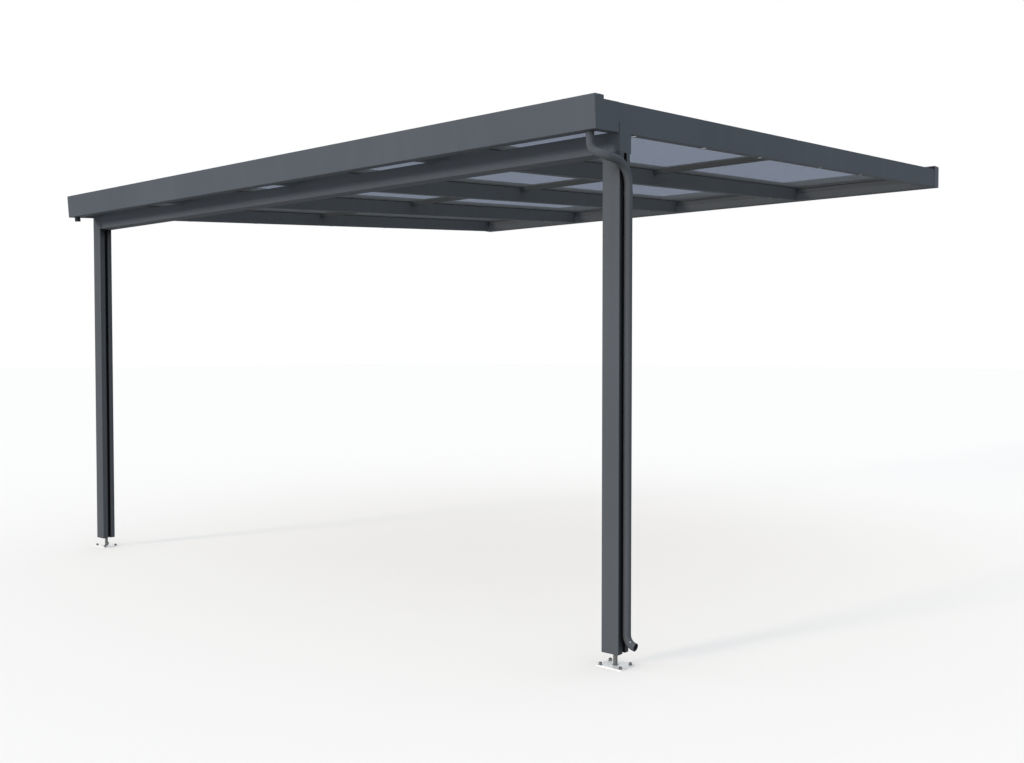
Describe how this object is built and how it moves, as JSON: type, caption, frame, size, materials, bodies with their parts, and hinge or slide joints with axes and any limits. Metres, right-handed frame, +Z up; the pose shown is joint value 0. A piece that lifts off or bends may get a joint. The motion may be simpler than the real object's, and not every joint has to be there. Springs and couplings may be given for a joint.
{
  "type": "patio cover",
  "caption": "Wall-mounted patio cover: aluminium lean-to frame with box gutter, sloping rafters, flat translucent panes, slotted posts on adjustable feet and a small downpipe.",
  "frame": {"origin": "middle of the wall ledger's flat back face, on the wall", "axes": "+Y into the wall, the roof falls towards -Y; +X to the right as seen from the garden; +Z up"},
  "size_m": [4.5913, 4.5196, 2.7982],
  "materials": {
    "frame_coat": "anthracite grey powder coat, fine satin texture",
    "trim": "dark grey moulded plastic",
    "glazing": "translucent grey-blue safety glass",
    "steel": "bright galvanised steel"
  },
  "bodies": {
    "root": {"wall_ledger": "frame_coat", "ledger_end_cap_left": "frame_coat", "ledger_end_cap_right": "frame_coat", "rafter_1": "frame_coat", "rafter_2": "frame_coat", "rafter_3": "frame_coat", "side_rafter_left": "frame_coat", "side_rafter_right": "frame_coat", "glazing_cap_1": "frame_coat", "glazing_cap_2": "frame_coat", "glazing_cap_3": "frame_coat", "glazing_cap_left": "frame_coat", "glazing_cap_right": "frame_coat", "crossbar_1": "frame_coat", "crossbar_2": "frame_coat", "crossbar_3": "frame_coat", "crossbar_4": "frame_coat", "pane_1_front": "glazing", "pane_1_rear": "glazing", "pane_2_front": "glazing", "pane_2_rear": "glazing", "pane_3_front": "glazing", "pane_3_rear": "glazing", "pane_4_front": "glazing", "pane_4_rear": "glazing", "gutter": "frame_coat", "gutter_end_plate_left": "frame_coat", "gutter_end_plate_right": "frame_coat", "gutter_outlet_right": "trim", "gutter_outlet_left": "trim", "header_beam": "frame_coat", "header_end_plate_left": "frame_coat", "header_end_plate_right": "frame_coat", "post_left": "frame_coat", "post_insert_left": "steel", "post_right": "frame_coat", "post_insert_right": "steel", "foot_left": "steel", "foot_right": "steel", "downpipe_offset": "frame_coat", "downpipe": "frame_coat", "downpipe_shoe": "frame_coat"}
  },
  "joints": []
}
